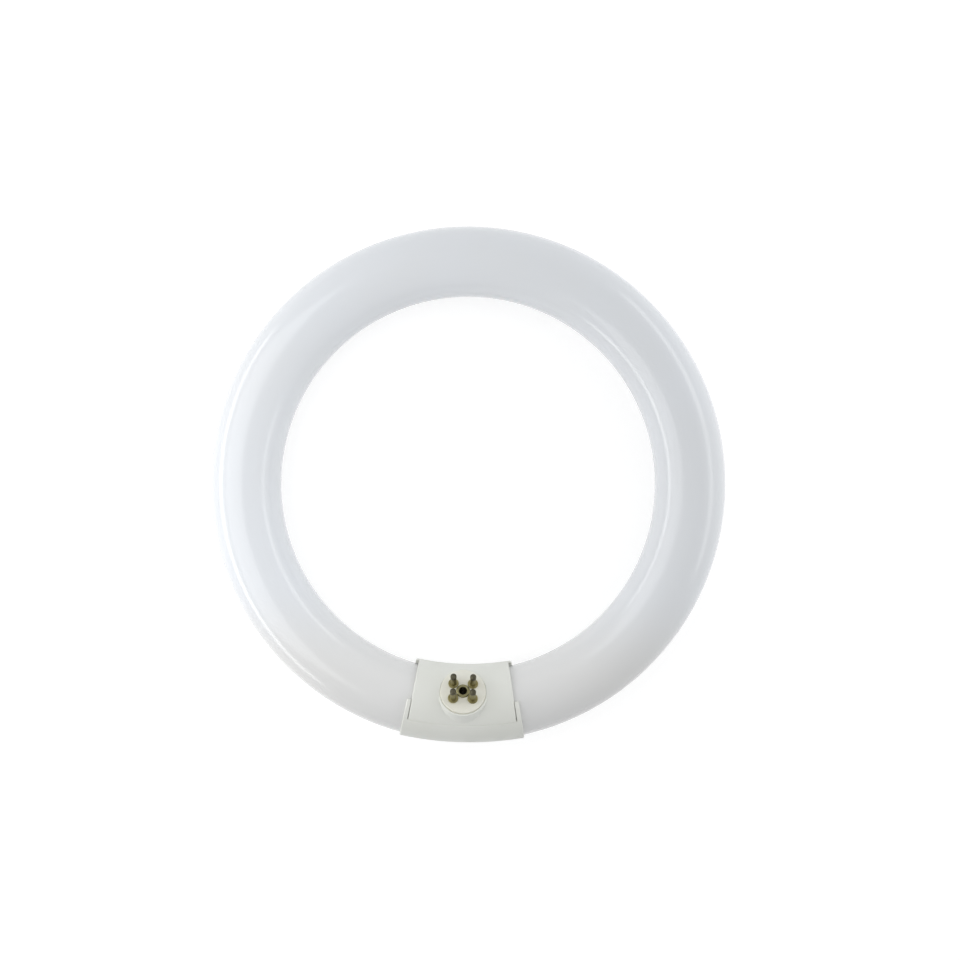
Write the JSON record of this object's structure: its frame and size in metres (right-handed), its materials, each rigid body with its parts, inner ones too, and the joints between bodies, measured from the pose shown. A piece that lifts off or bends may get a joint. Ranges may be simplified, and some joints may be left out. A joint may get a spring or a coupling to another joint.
{
  "type": "circular fluorescent tube",
  "caption": "Ring-shaped white glass fluorescent lamp; its sealed ends meet in a two-part plastic base with a round disc of leaning brass contact pins.",
  "frame": {"origin": "centre of the glass ring, in the ring's middle plane", "axes": "+Z normal to the ring on the pins' side, -Y from the ring's centre through the base"},
  "size_m": [0.216, 0.2166, 0.0397],
  "materials": {
    "tube_glass": "gloss, opaque white from the coating inside",
    "base_plastic": "satin moulded",
    "carrier_plastic": "matt moulded, slightly cream",
    "pin_brass": "drawn, slightly dull",
    "eyelet_brass": "dull",
    "solder": "dull grey",
    "lead_metal": "drawn wire"
  },
  "bodies": {
    "root": {"glass_tube": "tube_glass", "base_front_shell": "base_plastic", "base_rear_shell": "base_plastic", "pin_carrier": "carrier_plastic", "clamp_eyelet": "eyelet_brass", "contact_pin_1": "pin_brass", "solder_tip_1": "solder", "lead_wire_1": "lead_metal", "contact_pin_2": "pin_brass", "solder_tip_2": "solder", "lead_wire_2": "lead_metal", "contact_pin_3": "pin_brass", "solder_tip_3": "solder", "lead_wire_3": "lead_metal", "contact_pin_4": "pin_brass", "solder_tip_4": "solder", "lead_wire_4": "lead_metal"}
  },
  "joints": []
}
